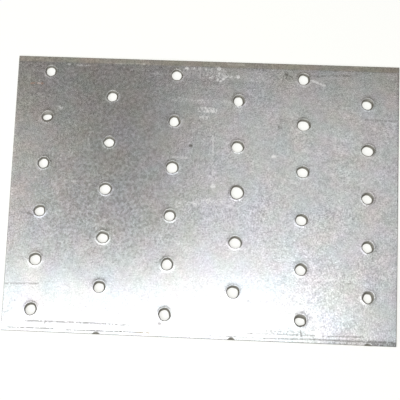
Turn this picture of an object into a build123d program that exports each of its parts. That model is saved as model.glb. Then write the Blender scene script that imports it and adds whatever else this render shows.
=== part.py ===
from build123d import *
import os

# Mending plate: one flat piece of galvanised sheet steel with staggered columns of nail holes.
# The origin is under the middle of the plate, on the face that lies against the timber.
# +X runs along the plate, +Y across it, and +Z out of the face that the punches enter.
# The far long edge is the one at +Y, and the near long edge is the one at -Y.

# Sheet, in millimetres
thickness = 2.0

# Punched pattern: every column takes the same strokes, and every second column is set nearer by
# the stagger, so that its last stroke falls across the near edge and only nicks it
column_pitch = 25.4
stroke_pitch = 19.05
stagger = 9.525
column_count = 6
strokes_per_column = 6

# Metal left round the pattern: outside the end columns, measured along the far edge, and outside
# the first and last strokes of a column that isn't staggered
left_margin = 13.8
right_margin = 12.8
far_margin = 6.6
near_margin = 8.45

# The two ends are sheared out of square, and run in towards each other at the near edge
left_run_in = 3.2
right_run_in = 2.5

# Section of one punched hole, from the face down: a mouth drawn in by the punch, a straight land,
# and a wider exit where the slug broke away
bore_radius = 1.9
mouth_draw = 0.4
breakaway = 0.15
breakaway_depth = 0.7

# The slit long edges sink over a wide shoulder and turn down into their sides over a small roll,
# and the arrises of the two sheared ends are slightly dulled
shoulder_width = 2.8
shoulder_drop = 0.5
edge_roll = 0.5
arris_radius = 0.2

# Reach of a punch past both faces of the sheet
overrun = 1.0

width = far_margin + (strokes_per_column - 1) * stroke_pitch + near_margin
length = left_margin + (column_count - 1) * column_pitch + right_margin
first_column_x = left_margin - length / 2
first_stroke_y = width / 2 - far_margin
side_height = thickness - shoulder_drop


def slit_strip():
    """The strip as it was slit: one section across the plate, run along its whole length."""
    side = width / 2
    crown = side - shoulder_width
    with BuildSketch(Plane.YZ) as section:
        with BuildLine():
            Polyline((-side, side_height), (-side, 0), (side, 0), (side, side_height))
            TangentArc((crown, thickness), (side, side_height), tangent=(1, 0))
            Line((crown, thickness), (-crown, thickness))
            TangentArc((-crown, thickness), (-side, side_height), tangent=(-1, 0))
        make_face()
        fillet(section.vertices().group_by(Axis.Y)[1], edge_roll)
    return extrude(section.sketch, amount=length / 2, both=True)


def shear_plane(end, run_in):
    """The upright plane of one sheared end, facing away from the plate. end is -1 or 1."""
    far_corner = Vector(end * length / 2, width / 2, 0)
    near_corner = Vector(end * (length / 2 - run_in), -width / 2, 0)
    along = far_corner - near_corner
    outward = Vector(end * along.Y, -end * along.X, 0)
    return Plane(origin=far_corner, x_dir=along, z_dir=outward)


def dull_ends(plate):
    """Take the sharpness off each sheared end, along its upper arris and down its two corners."""
    faces = plate.faces().sort_by(Axis.X)
    arrises = []
    for end in (faces[0], faces[-1]):
        arrises.append(end.edges().filter_by(GeomType.LINE).sort_by(Axis.Z)[-1])
    return fillet(arrises, arris_radius)


def punch():
    """The body of one stroke: the mouth it draws in, the land, and the metal that breaks away."""
    top = thickness + overrun
    mouth_start = thickness - mouth_draw
    mouth_radius = bore_radius + mouth_draw + overrun
    exit_radius = bore_radius + breakaway
    with BuildSketch(Plane.XZ) as profile:
        with BuildLine():
            Polyline((0, top), (0, -overrun), (exit_radius, -overrun), (exit_radius, 0))
            Polyline((exit_radius, 0), (bore_radius, breakaway_depth), (bore_radius, mouth_start))
            Polyline((bore_radius, mouth_start), (mouth_radius, top), (0, top))
        make_face()
    return revolve(profile.sketch, Axis.Z)


def strokes():
    """Every stroke in its place, column by column from the left and from the far edge."""
    placed = []
    for column in range(column_count):
        x = first_column_x + column * column_pitch
        start_y = first_stroke_y - (stagger if column % 2 else 0)
        for stroke in range(strokes_per_column):
            placed.append(Pos(x, start_y - stroke * stroke_pitch) * punch())
    return placed


def mending_plate():
    """The strip sheared to length, dulled at its ends, and punched."""
    plate = slit_strip()
    plate = split(plate, bisect_by=shear_plane(-1, left_run_in), keep=Keep.BOTTOM)
    plate = split(plate, bisect_by=shear_plane(1, right_run_in), keep=Keep.BOTTOM)
    plate = dull_ends(plate) - strokes()
    plate.label = "plate"
    return plate


os.makedirs("parts", exist_ok=True)
export_step(mending_plate(), "parts/plate.step")
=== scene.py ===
import math

import bmesh
import bpy
from mathutils import Euler, Matrix, Vector, noise


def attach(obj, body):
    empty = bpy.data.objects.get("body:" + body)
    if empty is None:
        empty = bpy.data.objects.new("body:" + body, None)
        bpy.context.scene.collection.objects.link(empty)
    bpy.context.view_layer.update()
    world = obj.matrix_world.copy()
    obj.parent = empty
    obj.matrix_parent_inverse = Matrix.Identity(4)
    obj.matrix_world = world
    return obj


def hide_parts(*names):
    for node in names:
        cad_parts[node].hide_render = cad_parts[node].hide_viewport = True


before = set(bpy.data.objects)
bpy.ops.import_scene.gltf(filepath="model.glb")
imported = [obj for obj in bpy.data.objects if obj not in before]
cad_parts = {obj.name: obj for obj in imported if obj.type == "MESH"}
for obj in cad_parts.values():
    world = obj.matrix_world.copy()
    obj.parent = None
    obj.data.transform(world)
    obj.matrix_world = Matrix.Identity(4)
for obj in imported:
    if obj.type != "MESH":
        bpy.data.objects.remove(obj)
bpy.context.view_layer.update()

# The plate is one flat piece of galvanised steel sheet. It was slit from coil, which rolled its
# two long edges down, sheared to length at both ends, and punched with staggered columns of nail
# holes. The last stroke of every second column fell across the near edge and only nicked it.
MM = 0.001
THICKNESS = 2.0 * MM
COLUMN_PITCH = 25.4 * MM
COLUMNS = 6
STROKES = 6

# The first hole and the outline, measured from the middle of the plate. HALF_LENGTH is half of the
# far edge, and each end runs in by its own length at the near edge.
FIRST_COLUMN_X = -63.0 * MM
FIRST_STROKE_Y = 48.55 * MM
HALF_LENGTH = 76.785 * MM
HALF_WIDTH = 55.15 * MM
LEFT_RUN_IN = 3.2 * MM
RIGHT_RUN_IN = 2.5 * MM

# The sheet is laid out on a lattice that every hole centre falls on, in steps across a column. It
# reaches past the outline: LEFT_STEPS, FAR_STEPS and NEAR_STEPS are counted from the first hole,
# and RIGHT_STEPS from the last column. HOLE_STEPS is half the side of the square round a hole.
COLUMN_STEPS = 16
STROKE_STEPS = 12
STAGGER_STEPS = 6
LATTICE = COLUMN_PITCH / COLUMN_STEPS
LEFT_STEPS = 10
RIGHT_STEPS = 9
FAR_STEPS = 5
NEAR_STEPS = 70
HOLE_STEPS = 3
RIM_SEGMENTS = 48

# Rings of one punched hole from the rim in, as radius and depth below the upper face in mm. The
# rim swells a little, rolls over into the mouth, runs down the land and opens out at the exit.
# Under the sheet, a square's border is held lower by BRIDGE_ROOM until it is joined to the exit.
SWELL = 0.06 * MM
HOLE_RINGS = (
    (4.20, 0.060), (3.60, 0.057), (3.20, 0.049), (2.95, 0.036), (2.75, 0.019), (2.62, 0.006),
    (2.52, 0.003), (2.44, 0.010), (2.37, 0.030), (2.29, 0.072), (2.21, 0.130), (2.12, 0.205),
    (2.03, 0.295), (1.95, 0.400), (1.91, 0.520), (1.90, 0.700), (1.90, 1.150), (1.95, 1.350),
    (2.06, 1.900), (2.10, 2.000), (4.00, 2.000),
)
BRIDGE_ROOM = 0.5 * MM

# The radius in mm from which a hole darkens to the colour of uncoated steel, and the width over
# which that takes over. It is real uncoated steel in the bore, and painted shade in the rolled
# mouth above it. The painted shade is darkest on the side the direction vector below points to and
# least opposite, by the share given after it, and the gain after that is how fast it changes round
# the hole. The punch drew the mouth in further on that side too, by up to MOUTH_PULL mm.
STEEL_AND_SHADE_FROM = 2.50
STEEL_AND_SHADE_OVER = 0.20
SHADED_AND_DRAWN_SIDE = Vector((0.45, 0.89))
STEEL_AND_SHADE_LEAST = 0.25
STEEL_AND_SHADE_GAIN = 1.5
MOUTH_PULL = 0.13

# The punches leaned a little, more so towards the near edge, where the three strokes that ran off
# it tore out on a slant. LEAN is how far a bore's foot lies from its mouth in mm at the plate's
# middle, and LEAN_SPREAD how much that changes for each mm across the plate.
LEAN = (-0.18, -0.20)
LEAN_SPREAD = 0.0065
NICK_LEAN = -1.1

# No two holes came out quite alike. Each bore wanders from round by up to the share OUT_OF_ROUND,
# along a noise that is read on a circle of radius WANDER_RADIUS, at a height of WANDER_HEIGHT, and
# is moved on by WANDER_MOVES for each column and stroke. A hole's quirks are whole up to 1 mm
# short of QUIRK_REACH mm from its middle, and fade out from there.
WANDER_RADIUS = 1.4
WANDER_HEIGHT = 0.5
WANDER_MOVES = (9.7, 6.1)
OUT_OF_ROUND = 0.10
QUIRK_REACH = 3.1

# How the holes differ, by column and stroke: shares of the bore along and across the plate, and a
# shift in mm. A narrow bore keeps its mouth, which is MOUTH_DEPTH deep, and a large one has a large
# mouth too. The three nicks come last.
MOUTH_DEPTH = 0.4 * MM
HOLE_QUIRKS = {
    (1, 1): (0.92, 1.00, -0.24, 0.02), (1, 2): (0.90, 0.72, -0.20, -0.20),
    (1, 3): (0.95, 0.98, -0.06, -0.08), (1, 4): (0.98, 0.97, 0.12, -0.25),
    (1, 5): (1.02, 1.02, 0.08, -0.15), (1, 6): (0.99, 1.04, 0.00, -0.05),
    (2, 1): (0.98, 0.98, -0.02, -0.44), (2, 2): (1.00, 0.92, -0.10, -0.28),
    (2, 3): (1.09, 1.03, -0.36, -0.12), (2, 4): (1.06, 0.95, 0.04, -0.36),
    (2, 5): (0.97, 1.00, 0.00, -0.34), (3, 1): (1.04, 1.03, -0.03, -0.05),
    (3, 2): (0.93, 1.03, -0.17, -0.34), (3, 3): (1.07, 1.08, 0.00, -0.18),
    (3, 4): (1.00, 0.97, -0.06, -0.30), (3, 5): (1.00, 1.05, -0.05, -0.05),
    (3, 6): (0.97, 1.08, 0.00, -0.05), (4, 1): (0.90, 1.01, -0.28, -0.58),
    (4, 2): (1.05, 1.08, -0.08, -0.50), (4, 3): (1.20, 1.24, 0.32, 0.38),
    (4, 4): (1.15, 1.05, 0.27, -0.33), (4, 5): (1.08, 1.08, 0.00, -0.15),
    (5, 1): (1.00, 1.06, 0.06, -0.10), (5, 2): (1.18, 1.04, 0.27, -0.16),
    (5, 3): (1.10, 1.02, 0.25, -0.25), (5, 4): (1.04, 0.98, -0.05, -0.10),
    (5, 5): (1.00, 0.97, 0.05, -0.20), (5, 6): (1.00, 0.80, 0.08, -0.25),
    (6, 1): (1.02, 0.90, -0.15, -0.45), (6, 2): (1.15, 1.01, 0.10, -0.17),
    (6, 3): (1.04, 0.92, -0.12, -0.32), (6, 4): (0.97, 0.95, -0.12, -0.24),
    (6, 5): (0.88, 0.93, -0.06, -0.30),
    (2, 6): (0.70, 1.00, 0.00, -0.45), (4, 6): (0.70, 1.00, 0.00, -0.45),
    (6, 6): (0.70, 1.00, 0.00, -0.45),
}

# Sections of the long edges and of the sheared ends, as inset from the side and drop in mm. The
# slitting rolls pressed the far edge down in an even slope, and left a crease along the near one.
FAR_EDGE = (
    (2.80, 0.000), (2.62, 0.006), (2.46, 0.020), (2.30, 0.042), (2.00, 0.088), (1.50, 0.164),
    (1.00, 0.240), (0.60, 0.302), (0.35, 0.352), (0.25, 0.402), (0.146, 0.492), (0.067, 0.603),
    (0.017, 0.728), (0.0, 0.857),
)
NEAR_EDGE = (
    (2.80, 0.000), (2.40, 0.014), (2.00, 0.046), (1.72, 0.086), (1.56, 0.112), (1.44, 0.116),
    (1.30, 0.100), (1.20, 0.100), (1.05, 0.114), (0.80, 0.148), (0.50, 0.198), (0.28, 0.250),
    (0.14, 0.330), (0.05, 0.470), (0.0, 0.700),
)
LEFT_END = (
    (0.22, 0.000), (0.15, 0.010), (0.09, 0.032), (0.04, 0.070), (0.0, 0.140),
)
RIGHT_END = (
    (0.36, 0.000), (0.24, 0.014), (0.15, 0.048), (0.08, 0.105), (0.03, 0.190), (0.0, 0.300),
)

# The arris of the right end is drawn down at its far corner and sharp at its near one
RIGHT_FADE_FROM = -12.0 * MM
RIGHT_FADE_OVER = 50.0 * MM
RIGHT_LEAST = 0.15

# A corner sinks further, by the share CORNER_SINK of the lesser of its two drops. Along the far
# edge a band ROLLED_WIDTH wide is painted darker and browner as shade, and fades out over its last
# ROLLED_FADE.
CORNER_SINK = 0.35
ROLLED_WIDTH = 2.8 * MM
ROLLED_FADE = 0.6 * MM

# How near a point lies to a cut, or to another point, to count as on it, in metres
CUT_REACH = 1e-8
WELD_REACH = 0.5e-6

# An edge that turns by less than this is shaded smooth
SHARP_TURN = math.radians(38)

sheet = bmesh.new()
sheet.verts.layers.float.new("uncoated_and_shade")
rolled = sheet.verts.layers.float.new("rolled")


def lattice_point(column, row):
    """A point of the lattice, counted from the first hole rightwards and towards the near edge."""
    return Vector((FIRST_COLUMN_X + column * LATTICE, FIRST_STROKE_Y - row * LATTICE, 0))


def lay_face(height, facing_down):
    """One face of the sheet, larger than the plate, at a height above the timber."""
    columns = COLUMN_STEPS * (COLUMNS - 1) + LEFT_STEPS + RIGHT_STEPS
    rows = FAR_STEPS + NEAR_STEPS
    first = lattice_point(-LEFT_STEPS, -FAR_STEPS)
    last = lattice_point(columns - LEFT_STEPS, NEAR_STEPS)
    place = Matrix.Translation((first + last) / 2 + Vector((0, 0, height)))
    size = Matrix.Diagonal((columns * LATTICE, rows * LATTICE, 1, 1))
    made = bmesh.ops.create_grid(sheet, x_segments=columns, y_segments=rows, size=0.5,
                                 matrix=place @ size)
    if facing_down:
        faces = list({face for vert in made["verts"] for face in vert.link_faces})
        bmesh.ops.reverse_faces(sheet, faces=faces)


def clear_squares(centres):
    """Takes both faces away in a square round every centre, and cuts the borders for the rims."""
    reach = HOLE_STEPS * LATTICE
    gone = set()
    for face in sheet.faces:
        middle = face.calc_center_median()
        if any(abs(middle.x - at.x) < reach and abs(middle.y - at.y) < reach for at in centres):
            gone.add(face)
    borders = [edge for edge in {edge for face in gone for edge in face.edges}
               if sum(face in gone for face in edge.link_faces) == 1]
    bmesh.ops.delete(sheet, geom=list(gone), context="FACES")
    bmesh.ops.subdivide_edges(sheet, edges=borders, cuts=RIM_SEGMENTS // (8 * HOLE_STEPS) - 1)


def loop(form, segments, radius, height, cuts=0):
    """A loop of edges about the origin at a height: a circle, or a square with its sides cut up."""
    place = Matrix.Translation((0, 0, height))
    if cuts:
        place @= Matrix.Rotation(math.pi / 4, 4, "Z")
    made = bmesh.ops.create_circle(form, cap_ends=False, segments=segments, radius=radius,
                                   matrix=place)
    edges = list({edge for vert in made["verts"] for edge in vert.link_edges})
    if cuts:
        parts = bmesh.ops.subdivide_edges(form, edges=edges, cuts=cuts)["geom_split"]
        edges = list({part for part in parts if isinstance(part, bmesh.types.BMEdge)})
    return edges


def stretch(factor, deep):
    """A factor on a hole's width: a growth takes the mouth with it, and a loss only the bore."""
    return max(factor, 1.0) - 1.0 + deep * (min(factor, 1.0) - 1.0)


def punch_hole(number, centre):
    """One square of the sheet with the rings of its punched hole, added to the sheet."""
    along, across, shift_x, shift_y = HOLE_QUIRKS[number]
    nick = number[0] % 2 == 0 and number[1] == STROKES
    lean_y = NICK_LEAN if nick else LEAN[1] + LEAN_SPREAD * centre.y / MM
    form = bmesh.new()
    uncoated_and_shade = form.verts.layers.float.new("uncoated_and_shade")
    corner = HOLE_STEPS * LATTICE * math.sqrt(2)
    side_cuts = RIM_SEGMENTS // 4 - 1
    top_border = loop(form, 4, corner, THICKNESS - SWELL, side_cuts)
    radius, depth = HOLE_RINGS[0]
    edges = loop(form, RIM_SEGMENTS, radius * MM, THICKNESS - depth * MM)
    bmesh.ops.bridge_loops(form, edges=top_border + edges)
    for next_radius, next_depth in HOLE_RINGS[1:]:
        made = bmesh.ops.extrude_edge_only(form, edges=edges)["geom"]
        verts = [part for part in made if isinstance(part, bmesh.types.BMVert)]
        edges = [part for part in made if isinstance(part, bmesh.types.BMEdge)]
        scale = next_radius / radius
        bmesh.ops.scale(form, vec=(scale, scale, 1), verts=verts)
        bmesh.ops.translate(form, vec=(0, 0, (depth - next_depth) * MM), verts=verts)
        # Painted shade: the mask darkens the mouth, most on one side, and gives the bore the colour
        # of uncoated steel
        for vert in verts:
            facing = (1 + vert.co.xy.normalized().dot(SHADED_AND_DRAWN_SIDE)) / 2
            strength = STEEL_AND_SHADE_LEAST + (1 - STEEL_AND_SHADE_LEAST) * min(1.0, STEEL_AND_SHADE_GAIN * facing)
            vert[uncoated_and_shade] = strength * min(1.0, max(0.0, (STEEL_AND_SHADE_FROM - next_radius) / STEEL_AND_SHADE_OVER))
        radius, depth = next_radius, next_depth
    for vert in form.verts:
        reach = vert.co.xy.length / MM
        share = min(1.0, max(0.0, QUIRK_REACH - reach))
        if share > 0:
            turn = vert.co.xy.normalized() * WANDER_RADIUS
            wander = OUT_OF_ROUND * noise.noise((turn.x + WANDER_MOVES[0] * number[0],
                                                 turn.y + WANDER_MOVES[1] * number[1],
                                                 WANDER_HEIGHT))
            depth = THICKNESS - vert.co.z
            deep = 1.0 if nick else min(1.0, depth / MOUTH_DEPTH)
            vert.co.x *= 1 + share * (stretch(along, deep) + wander)
            vert.co.y *= 1 + share * (stretch(across, deep) + wander)
            pull = 0.0 if nick else MOUTH_PULL * (1 - deep)
            vert.co.x += share * (shift_x + pull * SHADED_AND_DRAWN_SIDE.x
                                  + depth / THICKNESS * LEAN[0]) * MM
            vert.co.y += share * (shift_y + pull * SHADED_AND_DRAWN_SIDE.y
                                  + depth / THICKNESS * lean_y) * MM
    bottom_border = loop(form, 4, corner, -BRIDGE_ROOM, side_cuts)
    bmesh.ops.bridge_loops(form, edges=edges + bottom_border)
    border_verts = list({vert for edge in bottom_border for vert in edge.verts})
    bmesh.ops.translate(form, vec=(0, 0, BRIDGE_ROOM), verts=border_verts)
    bmesh.ops.recalc_face_normals(form, faces=form.faces[:])
    bmesh.ops.translate(form, vec=centre, verts=form.verts[:])
    piece = bpy.data.meshes.new("punched_square")
    form.to_mesh(piece)
    form.free()
    sheet.from_mesh(piece)
    bpy.data.meshes.remove(piece)


def cut(point, outward, clear):
    """Cuts the sheet along an upright plane, and where clear is set takes off what lies beyond."""
    geom = sheet.verts[:] + sheet.edges[:] + sheet.faces[:]
    made = bmesh.ops.bisect_plane(sheet, geom=geom, dist=CUT_REACH, plane_co=point,
                                  plane_no=outward, clear_outer=clear)["geom_cut"]
    if clear:
        edges = [part for part in made if isinstance(part, bmesh.types.BMEdge)]
        bmesh.ops.edgeloop_fill(sheet, edges=edges)


lay_face(THICKNESS - SWELL, False)
lay_face(0, True)
bmesh.ops.bridge_loops(sheet, edges=[edge for edge in sheet.edges if edge.is_boundary])
centres = {}
for column in range(COLUMNS):
    for stroke in range(STROKES):
        row = stroke * STROKE_STEPS + STAGGER_STEPS * (column % 2)
        centres[column + 1, stroke + 1] = lattice_point(COLUMN_STEPS * column, row)
clear_squares(centres.values())
for number, centre in centres.items():
    punch_hole(number, centre)
bmesh.ops.remove_doubles(sheet, verts=sheet.verts[:], dist=WELD_REACH)

upright = Vector((0, 0, 1))


def side(start, end, section):
    """One side of the outline: a point on it, the direction out of the plate, and its section."""
    return start, (end - start).cross(-upright).normalized(), section


far_left = Vector((-HALF_LENGTH, HALF_WIDTH, 0))
far_right = Vector((HALF_LENGTH, HALF_WIDTH, 0))
near_left = Vector((-HALF_LENGTH + LEFT_RUN_IN, -HALF_WIDTH, 0))
near_right = Vector((HALF_LENGTH - RIGHT_RUN_IN, -HALF_WIDTH, 0))
SIDES = (
    side(far_left, far_right, FAR_EDGE),
    side(near_right, near_left, NEAR_EDGE),
    side(near_left, far_left, LEFT_END),
    side(far_right, near_right, RIGHT_END),
)
for point, outward, section in SIDES:
    cut(point, outward, True)
for point, outward, section in SIDES:
    for inset, drop in section[:-1]:
        cut(point - outward * inset * MM, outward, False)


def drop_at(inset, section):
    """How far the upper face has sunk at an inset from one side."""
    if inset >= section[0][0] * MM:
        return 0.0
    for (outer, high), (inner, low) in zip(section, section[1:]):
        if inset >= inner * MM:
            share = (outer * MM - inset) / ((outer - inner) * MM)
            return (high + (low - high) * share) * MM
    return section[-1][1] * MM


for vert in sheet.verts:
    insets = [(point - vert.co).dot(outward) for point, outward, section in SIDES]
    far, near, left, right = [drop_at(inset, section)
                              for inset, (point, outward, section) in zip(insets, SIDES)]
    right *= min(1.0, max(RIGHT_LEAST, (vert.co.y - RIGHT_FADE_FROM) / RIGHT_FADE_OVER))
    edge_drop = max(far, near)
    end_drop = max(left, right)
    drop = max(edge_drop, end_drop) + CORNER_SINK * min(edge_drop, end_drop)
    vert.co.z *= 1 - drop / THICKNESS
    vert[rolled] = min(1.0, max(0.0, (ROLLED_WIDTH - insets[0]) / ROLLED_FADE))

bmesh.ops.recalc_face_normals(sheet, faces=sheet.faces[:])
for face in sheet.faces:
    face.smooth = True
for edge in sheet.edges:
    edge.smooth = edge.is_manifold and edge.calc_face_angle(0) < SHARP_TURN
plate_mesh = bpy.data.meshes.new("plate")
sheet.to_mesh(plate_mesh)
sheet.free()
plate = bpy.data.objects.new("punched_plate", plate_mesh)
bpy.context.scene.collection.objects.link(plate)


def add_node(tree, kind, **values):
    """Adds a node, with its settings and its inputs set by name."""
    made = tree.nodes.new(kind)
    for name, value in values.items():
        if hasattr(made, name):
            setattr(made, name, value)
        else:
            made.inputs[name.replace("_", " ")].default_value = value
    return made


def new_material(name):
    """A new material, its node tree, and the node of its surface."""
    material = bpy.data.materials.new(name)
    material.use_nodes = True
    tree = material.node_tree
    return material, tree, tree.nodes["Principled BSDF"]


def noise_between(tree, vector, scale, detail, low, high, from_low=0.3, from_high=0.7):
    """A noise over the surface, spread between two values."""
    field = add_node(tree, "ShaderNodeTexNoise", Scale=scale, Detail=detail, Roughness=0.55)
    tree.links.new(vector, field.inputs["Vector"])
    spread = add_node(tree, "ShaderNodeMapRange", From_Min=from_low, From_Max=from_high,
                      To_Min=low, To_Max=high)
    tree.links.new(field.outputs["Fac"], spread.inputs["Value"])
    return spread.outputs["Result"]


def feed(tree, sockets, sources):
    """Gives each socket its source, which is another socket or a plain value."""
    for socket, source in zip(sockets, sources):
        if isinstance(source, bpy.types.NodeSocket):
            tree.links.new(source, socket)
        else:
            socket.default_value = source


# A Mix node has sockets of the same names for colours and for values, so they go by number here
def mix(tree, kind, factor, first, second):
    """Mixes two colours by a factor, each of the three a socket or a plain value."""
    made = add_node(tree, "ShaderNodeMix", data_type="RGBA", blend_type=kind)
    feed(tree, (made.inputs[0], made.inputs[6], made.inputs[7]), (factor, first, second))
    return made.outputs[2]


def value_mix(tree, factor, first, second):
    """Mixes two values by a factor, each of the three a socket or a plain number."""
    made = add_node(tree, "ShaderNodeMix", data_type="FLOAT")
    feed(tree, (made.inputs[0], made.inputs[2], made.inputs[3]), (factor, first, second))
    return made.outputs[0]


def join(tree, kind, operation, *sources):
    """Adds a node that works something out from sockets and plain numbers."""
    made = add_node(tree, kind, operation=operation)
    feed(tree, made.inputs, sources)
    return made.outputs


def value_of(tree, operation, *sources):
    """A value worked out from sockets and plain numbers."""
    return join(tree, "ShaderNodeMath", operation, *sources)[0]


# How a mark is drawn. It is strongest along its line and fades out to its edge, EDGE_GAIN times as
# steeply as if it faded from the line on. A noise of scale BREAK_GRAIN breaks it up: where that
# equals the mark's Break, BREAK_BASE is kept, and more or less by BREAK_GAIN times the difference.
EDGE_GAIN = 1.7
BREAK_GRAIN = 1250.0
BREAK_BASE = 0.6
BREAK_GAIN = 16.0


def mark_group():
    """A node group for one mark on the plate, such as a scratch: a soft mask along a line.

    Start and End are its ends, Width is half its width. A Break of 0.3 leaves it whole, 0.5
    breaks it up, and 0.6 leaves flecks.
    """
    group = bpy.data.node_groups.new("mark", "ShaderNodeTree")
    for name, kind in (("Start", "NodeSocketVector"), ("End", "NodeSocketVector"),
                       ("Width", "NodeSocketFloat"), ("Break", "NodeSocketFloat")):
        group.interface.new_socket(name, in_out="INPUT", socket_type=kind)
    group.interface.new_socket("Mask", in_out="OUTPUT", socket_type="NodeSocketFloat")
    given = group.nodes.new("NodeGroupInput").outputs
    result = group.nodes.new("NodeGroupOutput").inputs["Mask"]
    place = add_node(group, "ShaderNodeTexCoord").outputs["Object"]

    def vectors(operation, *sources):
        return join(group, "ShaderNodeVectorMath", operation, *sources)

    def values(operation, *sources):
        return value_of(group, operation, *sources)

    reach = vectors("SUBTRACT", place, given["Start"])[0]
    run = vectors("SUBTRACT", given["End"], given["Start"])[0]
    along = values("DIVIDE", vectors("DOT_PRODUCT", reach, run)["Value"],
                   vectors("DOT_PRODUCT", run, run)["Value"])
    clamped = values("MINIMUM", values("MAXIMUM", along, 0.0), 1.0)
    foot = add_node(group, "ShaderNodeVectorMath", operation="SCALE")
    feed(group, (foot.inputs[0], foot.inputs["Scale"]), (run, clamped))
    away = vectors("LENGTH", vectors("SUBTRACT", reach, foot.outputs[0])[0])["Value"]
    near = values("SUBTRACT", 1.0, values("DIVIDE", away, given["Width"]))
    soft = values("MULTIPLY", values("MAXIMUM", near, 0.0), EDGE_GAIN)
    field = add_node(group, "ShaderNodeTexNoise", Scale=BREAK_GRAIN, Detail=2.0)
    group.links.new(place, field.inputs["Vector"])
    over = values("SUBTRACT", field.outputs["Fac"], given["Break"])
    kept = values("MULTIPLY_ADD", over, BREAK_GAIN, BREAK_BASE)
    kept = values("MINIMUM", values("MAXIMUM", kept, 0.0), 1.0)
    group.links.new(values("MULTIPLY", values("MINIMUM", soft, 1.0), kept), result)
    return group


MARK_GROUP = mark_group()


def mark(tree, start, end, width, breaks):
    """The mask of one mark, from its ends and half its width in mm and how broken up it is."""
    made = tree.nodes.new("ShaderNodeGroup")
    made.node_tree = MARK_GROUP
    made.inputs["Start"].default_value = (start[0] * MM, start[1] * MM, THICKNESS)
    made.inputs["End"].default_value = (end[0] * MM, end[1] * MM, THICKNESS)
    made.inputs["Width"].default_value = width * MM
    made.inputs["Break"].default_value = breaks
    return made.outputs["Mask"]


# The coating: matt zinc with a fine grain that is stronger in some places than in others, in
# patches of slightly warmer and cooler grey, with a faint green or red cast. In the bore dull
# uncoated steel shows, and the mouth above it is darkened to the same colour as painted shade. The
# band along the far edge is painted darker and browner as shade.
WARM_ZINC = (0.648, 0.627, 0.600, 1)
COOL_ZINC = (0.606, 0.62, 0.642, 1)
GREEN_CAST = (0.968, 1.010, 0.982, 1)
RED_CAST = (1.026, 0.990, 1.010, 1)
STEEL_AND_SHADE_COLOUR = (0.34, 0.327, 0.288, 1)
STEEL_ROUGHNESS = 0.6
DEEP_EDGE_SHADE = (0.91, 0.895, 0.865, 1)
FAINT_EDGE_SHADE = (1.00, 0.975, 0.935, 1)

# The zinc is calmest over one spot left of the middle and over a wide band by the near edge, each
# given as a mark by its two ends and half its width in mm. There the grain shows by the share
# CALM_GRAIN, and the relief is evened out by up to CALM_RELIEF.
CALM_SPOT = ((-28.0, 28.0), (-27.0, -8.0), 21.0)
CALM_BAND = ((-58.0, -42.0), (8.0, -42.0), 36.0)
NO_BREAKS = -1.0
CALM_GRAIN = 0.33
CALM_RELIEF = 0.6
MEAN_RELIEF = 0.5
zinc, tree, surface = new_material("zinc_coat")
place = add_node(tree, "ShaderNodeTexCoord").outputs["Object"]
hole_shade_and_steel = add_node(tree, "ShaderNodeAttribute", attribute_name="uncoated_and_shade").outputs["Fac"]
rolled_over = add_node(tree, "ShaderNodeAttribute", attribute_name="rolled").outputs["Fac"]
grain = noise_between(tree, place, scale=1900.0, detail=2.0, low=0.66, high=1.34)
coarse = noise_between(tree, place, scale=560.0, detail=2.0, low=0.84, high=1.16)
patches = noise_between(tree, place, scale=60.0, detail=2.0, low=0.40, high=1.05)
calm = value_of(tree, "MAXIMUM", mark(tree, *CALM_SPOT, NO_BREAKS),
                mark(tree, *CALM_BAND, NO_BREAKS))
patches = value_mix(tree, calm, patches, CALM_GRAIN)
clouds = noise_between(tree, place, scale=160.0, detail=3.0, low=0.94, high=1.06)
coolness = noise_between(tree, place, scale=75.0, detail=2.0, low=0.0, high=1.0)
redness = noise_between(tree, place, scale=130.0, detail=2.0, low=0.0, high=1.0,
                        from_low=0.35, from_high=0.65)
metal = mix(tree, "MIX", coolness, WARM_ZINC, COOL_ZINC)
cast = mix(tree, "MIX", redness, GREEN_CAST, RED_CAST)
metal = mix(tree, "MULTIPLY", 1.0, metal, cast)
metal = mix(tree, "MULTIPLY", patches, metal, grain)
metal = mix(tree, "MULTIPLY", patches, metal, coarse)
metal = mix(tree, "MULTIPLY", 1.0, metal, clouds)
# Painted shade in the mouths and uncoated steel in the bores, by the same mask
metal = mix(tree, "MIX", hole_shade_and_steel, metal, STEEL_AND_SHADE_COLOUR)
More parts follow.
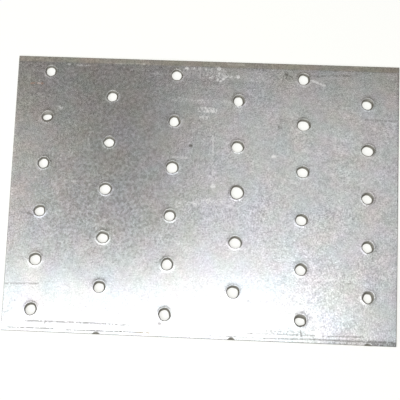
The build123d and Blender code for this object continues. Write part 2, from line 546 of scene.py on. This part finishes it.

# Scratches, rubs, dirt lines and specks, each with its two ends and half its width in mm, how
# broken up it is, and how strongly its own colour shows. The dark lines along the near edge, where
# it starts to slope and along its crease, are painted shade. The bright ones are chalky zinc, which
# is less of a metal, by up to CHALKINESS.
BRIGHT = (1.0, 0.99, 0.97, 1)
CHALKINESS = 0.7
DARK = (0.16, 0.15, 0.13, 1)
DIRT_AND_SHADE = (0.20, 0.195, 0.18, 1)
RUST = (0.80, 0.49, 0.38, 1)
STAIN = (0.42, 0.33, 0.14, 1)
MARKS = (
    ((-56.4, 51.8), (-55.8, 51.8), 0.6, 0.35, 0.45, BRIGHT),
    ((-52.6, 51.7), (-48.4, 51.7), 0.7, 0.48, 0.55, BRIGHT),
    ((-37.3, 52.7), (-25.2, 53.1), 0.5, 0.46, 0.3, BRIGHT),
    ((-26.2, 52.9), (-25.4, 52.9), 0.5, 0.30, 0.5, BRIGHT),
    ((-23.5, 48.9), (-11.5, 48.9), 0.6, 0.42, 0.22, BRIGHT),
    ((-9.5, 49.9), (6.0, 49.6), 3.0, 0.50, 0.28, BRIGHT),
    ((12.0, 49.5), (23.0, 49.0), 3.2, 0.20, 0.13, BRIGHT),
    ((0.0, 48.4), (12.5, 48.6), 1.2, 0.56, 0.75, BRIGHT),
    ((8.5, 54.0), (14.5, 54.0), 0.9, 0.40, 0.3, BRIGHT),
    ((-70.8, 43.2), (-66.2, 43.2), 0.6, 0.42, 0.6, RUST),
    ((-67.9, 43.3), (-67.3, 43.3), 0.6, 0.30, 0.45, BRIGHT),
    ((-58.6, 33.5), (-57.6, 33.2), 0.9, 0.42, 0.55, BRIGHT),
    ((31.5, 50.3), (31.9, 50.3), 0.8, 0.30, 0.7, DARK),
    ((29.5, 48.8), (33.5, 49.0), 1.2, 0.52, 0.6, DIRT_AND_SHADE),
    ((41.0, 49.8), (57.2, 50.6), 0.6, 0.48, 0.5, DIRT_AND_SHADE),
    ((41.7, 48.1), (46.9, 46.2), 0.7, 0.44, 0.75, BRIGHT),
    ((-12.0, 38.0), (9.6, 37.8), 1.7, 0.20, 0.10, BRIGHT),
    ((-12.0, 38.3), (9.6, 37.8), 1.1, 0.56, 0.5, BRIGHT),
    ((-2.0, 34.4), (3.5, 34.2), 1.6, 0.54, 0.8, BRIGHT),
    ((-2.0, 31.4), (1.0, 31.3), 1.0, 0.53, 0.6, BRIGHT),
    ((3.2, 23.8), (3.6, 16.0), 0.5, 0.44, 0.5, BRIGHT),
    ((3.6, 12.0), (4.2, 1.0), 0.8, 0.53, 0.45, BRIGHT),
    ((3.4, 3.2), (4.6, 3.2), 0.7, 0.25, 1.0, BRIGHT),
    ((-16.0, 14.6), (-6.5, 14.4), 0.6, 0.46, 0.5, BRIGHT),
    ((-45.8, 23.5), (-45.8, 16.5), 0.8, 0.53, 0.4, BRIGHT),
    ((-53.0, 15.0), (-51.0, 14.0), 1.5, 0.55, 0.45, BRIGHT),
    ((-51.0, 3.3), (-50.0, 3.3), 0.7, 0.30, 0.55, BRIGHT),
    ((-54.0, 3.6), (-53.0, 3.6), 0.5, 0.36, 0.35, BRIGHT),
    ((27.1, 16.1), (27.6, 16.1), 0.85, 0.20, 1.0, BRIGHT),
    ((29.3, 28.3), (29.6, 28.2), 0.9, 0.30, 0.5, DARK),
    ((30.5, 31.0), (32.5, 31.0), 1.6, 0.40, 0.25, DIRT_AND_SHADE),
    ((57.0, 32.6), (75.2, 32.2), 0.6, 0.44, 0.35, DIRT_AND_SHADE),
    ((41.0, 13.0), (60.7, 17.4), 0.4, 0.42, 0.22, DIRT_AND_SHADE),
    ((-5.6, 19.4), (-5.1, 19.4), 0.75, 0.20, 0.8, DARK),
    ((-9.2, -4.5), (8.0, -2.0), 2.2, 0.56, 0.7, BRIGHT),
    ((-8.5, -20.0), (-4.0, -22.0), 1.6, 0.58, 0.8, BRIGHT),
    ((-43.3, -22.6), (-42.8, -22.6), 0.7, 0.30, 0.7, BRIGHT),
    ((-68.0, -9.8), (-65.5, -10.6), 0.6, 0.40, 0.5, DARK),
    ((-73.4, -37.6), (-61.0, -37.1), 0.5, 0.44, 0.45, DIRT_AND_SHADE),
    ((-70.0, -44.5), (-74.0, -50.0), 2.2, 0.56, 0.35, DIRT_AND_SHADE),
    ((-64.3, -51.2), (-41.0, -51.1), 0.5, 0.40, 0.75, DIRT_AND_SHADE),
    ((-42.0, -51.0), (-25.5, -51.3), 0.45, 0.44, 0.75, DIRT_AND_SHADE),
    ((-57.3, -50.9), (-56.8, -53.7), 0.4, 0.42, 0.6, DIRT_AND_SHADE),
    # Painted shade along the near edge's crease, in this line and the next two
    ((-70.6, -53.9), (-54.0, -53.7), 0.5, 0.40, 0.8, DIRT_AND_SHADE),
    ((-48.7, -54.1), (-27.6, -53.8), 0.5, 0.42, 0.75, DIRT_AND_SHADE),
    ((-28.5, -53.7), (-17.8, -53.9), 0.5, 0.42, 0.75, DIRT_AND_SHADE),
    ((-22.0, -53.2), (-16.5, -54.2), 1.0, 0.46, 0.3, STAIN),
    ((-14.2, -50.2), (-13.6, -50.2), 0.7, 0.30, 0.6, DARK),
    ((19.0, -40.6), (19.6, -40.6), 0.8, 0.38, 0.4, DIRT_AND_SHADE),
    # Painted shade along the near edge where it starts to slope and at its crease, in this line and
    # the next five
    ((1.6, -52.5), (20.7, -52.5), 0.4, 0.42, 0.5, DIRT_AND_SHADE),
    ((1.6, -53.9), (25.4, -54.0), 0.4, 0.42, 0.5, DIRT_AND_SHADE),
    ((19.0, -52.4), (44.0, -52.2), 0.45, 0.38, 0.6, DIRT_AND_SHADE),
    ((47.0, -52.3), (62.0, -52.0), 0.45, 0.40, 0.6, DIRT_AND_SHADE),
    ((25.4, -54.0), (44.0, -53.6), 0.5, 0.36, 0.7, DIRT_AND_SHADE),
    ((44.0, -53.6), (74.6, -53.8), 0.5, 0.36, 0.7, DIRT_AND_SHADE),
    ((25.8, -51.1), (40.7, -52.0), 1.3, 0.52, 0.6, DIRT_AND_SHADE),
    ((38.8, -50.5), (39.2, -52.6), 0.5, 0.36, 0.6, DIRT_AND_SHADE),
)

# Single flecks of chalky zinc, each with its place and half its width in mm and how strongly it
# shows. They are very short marks, FLECK_REACH to either side, and all broken up alike.
FLECK_REACH = 0.1
FLECK_BREAKS = 0.44
FLECKS = (
    (-8.4, 51.5, 1.0, 1.00), (-5.8, 51.6, 1.0, 0.75), (-3.2, 51.6, 0.9, 0.50),
    (-0.4, 51.6, 1.0, 0.60), (1.6, 51.6, 0.7, 0.60), (4.7, 51.8, 1.0, 1.00),
    (4.9, 49.8, 0.8, 0.80), (4.4, 47.1, 0.7, 0.90), (6.4, 47.5, 0.8, 1.00),
    (5.4, 46.7, 0.7, 1.00), (9.4, 48.6, 0.7, 0.75), (12.4, 48.6, 0.9, 1.00),
    (-0.4, 35.2, 0.7, 0.80), (0.6, 33.8, 0.7, 1.00), (1.6, 34.7, 0.6, 0.80),
    (2.5, 33.9, 0.8, 1.00), (-1.4, 31.4, 0.7, 0.55), (0.3, 31.2, 0.7, 0.70),
)
MARKS += tuple(((x - FLECK_REACH, y), (x + FLECK_REACH, y), width, FLECK_BREAKS, strength, BRIGHT)
               for x, y, width, strength in FLECKS)
chalk = 0.0
for start, end, width, breaks, strength, colour in MARKS:
    shown = value_of(tree, "MULTIPLY", mark(tree, start, end, width, breaks), strength)
    metal = mix(tree, "MIX", shown, metal, colour)
    if colour == BRIGHT:
        chalk = value_of(tree, "MAXIMUM", chalk, shown)
tree.links.new(value_of(tree, "MULTIPLY_ADD", chalk, -CHALKINESS, 1.0), surface.inputs["Metallic"])
# Painted shade: the far edge's sloping band is darkened and browned, more in some patches than in
# others
fading = noise_between(tree, place, scale=90.0, detail=2.0, low=0.0, high=1.0)
edge_shade = mix(tree, "MIX", fading, DEEP_EDGE_SHADE, FAINT_EDGE_SHADE)
shaded_edge = mix(tree, "MULTIPLY", 1.0, metal, edge_shade)
metal = mix(tree, "MIX", rolled_over, metal, shaded_edge)
tree.links.new(metal, surface.inputs["Base Color"])
dullness = noise_between(tree, place, scale=900.0, detail=2.0, low=0.20, high=0.31)
dullness = value_mix(tree, hole_shade_and_steel, dullness, STEEL_ROUGHNESS)
tree.links.new(dullness, surface.inputs["Roughness"])
relief = noise_between(tree, place, scale=1800.0, detail=3.0, low=0.0, high=1.0)
evenness = value_of(tree, "MULTIPLY", calm, CALM_RELIEF)
relief = value_mix(tree, evenness, relief, MEAN_RELIEF)
bump = add_node(tree, "ShaderNodeBump", Strength=0.25, Distance=0.04 * MM)
tree.links.new(relief, bump.inputs["Height"])
tree.links.new(bump.outputs["Normal"], surface.inputs["Normal"])
plate_mesh.materials.append(zinc)
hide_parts("plate")
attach(plate, "root")

# The floor is a white table top. It shows white behind the plate and through its holes, by as much
# as FLOOR_GLOW, and its grey keeps the plate's soft shadow.
FLOOR_SIZE = 12.0
FLOOR_GREY = (0.45, 0.45, 0.45, 1)
FLOOR_WHITE = (1, 1, 0.95, 1)
FLOOR_GLOW = 0.69
floor_form = bmesh.new()
bmesh.ops.create_grid(floor_form, x_segments=1, y_segments=1, size=FLOOR_SIZE / 2)
floor_mesh = bpy.data.meshes.new("table_top")
floor_form.to_mesh(floor_mesh)
floor_form.free()
floor = bpy.data.objects.new("table_top", floor_mesh)
bpy.context.scene.collection.objects.link(floor)
white_top, tree, surface = new_material("white_top")
surface.inputs["Base Color"].default_value = FLOOR_GREY
surface.inputs["Roughness"].default_value = 0.9
surface.inputs["Specular IOR Level"].default_value = 0.0
surface.inputs["Emission Color"].default_value = FLOOR_WHITE
rays = add_node(tree, "ShaderNodeLightPath").outputs
seen = value_of(tree, "MAXIMUM", rays["Is Camera Ray"], rays["Is Glossy Ray"])
seen = value_of(tree, "MAXIMUM", seen, rays["Is Transmission Ray"])
tree.links.new(value_of(tree, "MULTIPLY", seen, FLOOR_GLOW), surface.inputs["Emission Strength"])
floor_mesh.materials.append(white_top)

# The studio is a dim plain room with four soft lamps overhead, which the zinc mirrors. The largest
# lights the near left, and the others lift the right half, the left end and the far edge.
ROOM_COLOUR = (1.03, 0.98, 0.9, 1)
ROOM_LEVEL = 0.21
world = bpy.data.worlds.new("room")
world.use_nodes = True
room = world.node_tree.nodes["Background"].inputs
room["Color"].default_value = ROOM_COLOUR
room["Strength"].default_value = ROOM_LEVEL
bpy.context.scene.world = world


def soft_lamp(name, place, aim, width, depth, level, colour):
    """An area lamp at a place, aimed at a point, in metres. level is the brightness of its face."""
    light = bpy.data.lights.new(name, "AREA")
    light.shape = "RECTANGLE"
    light.size = width
    light.size_y = depth
    light.energy = level * width * depth * math.pi
    light.color = colour
    lamp = bpy.data.objects.new(name, light)
    bpy.context.scene.collection.objects.link(lamp)
    lamp.location = place
    direction = Vector(aim) - Vector(place)
    lamp.rotation_euler = direction.to_track_quat("-Z", "Y").to_euler()


soft_lamp("overhead_lamp", place=(-0.205, -0.291, 0.6), aim=(-0.205, -0.25, 0),
          width=0.67, depth=0.615, level=2.40, colour=(0.965, 1.0, 1.055))
soft_lamp("right_lamp", place=(0.118, 0.077, 0.6), aim=(0.118, 0.057, 0),
          width=0.325, depth=0.394, level=0.675, colour=(0.98, 1.0, 1.04))
soft_lamp("left_lamp", place=(-0.43, 0.189, 0.6), aim=(-0.32, 0.159, 0),
          width=0.18, depth=0.46, level=0.57, colour=(1.03, 1.0, 0.97))
soft_lamp("far_lamp", place=(-0.2, 0.66, 0.6), aim=(-0.2, 0.4, 0),
          width=0.95, depth=0.44, level=0.25, colour=(1.05, 1.0, 0.86))

# The camera looks down on the plate from over its near edge, tipped and turned by a few degrees.
# CAMERA_TURN is in degrees.
CAMERA_PLACE = (8.62 * MM, -61.23 * MM, 283.78 * MM)
CAMERA_TURN = (11.872, 1.382, 2.483)
camera_data = bpy.data.cameras.new("camera")
camera_data.lens = 66.9
camera_data.sensor_width = 36.0
camera_data.clip_start = 0.01
camera = bpy.data.objects.new("camera", camera_data)
camera.location = CAMERA_PLACE
camera.rotation_euler = Euler([math.radians(angle) for angle in CAMERA_TURN], "XYZ")
bpy.context.scene.collection.objects.link(camera)
bpy.context.scene.camera = camera
bpy.context.scene.view_settings.view_transform = "Standard"
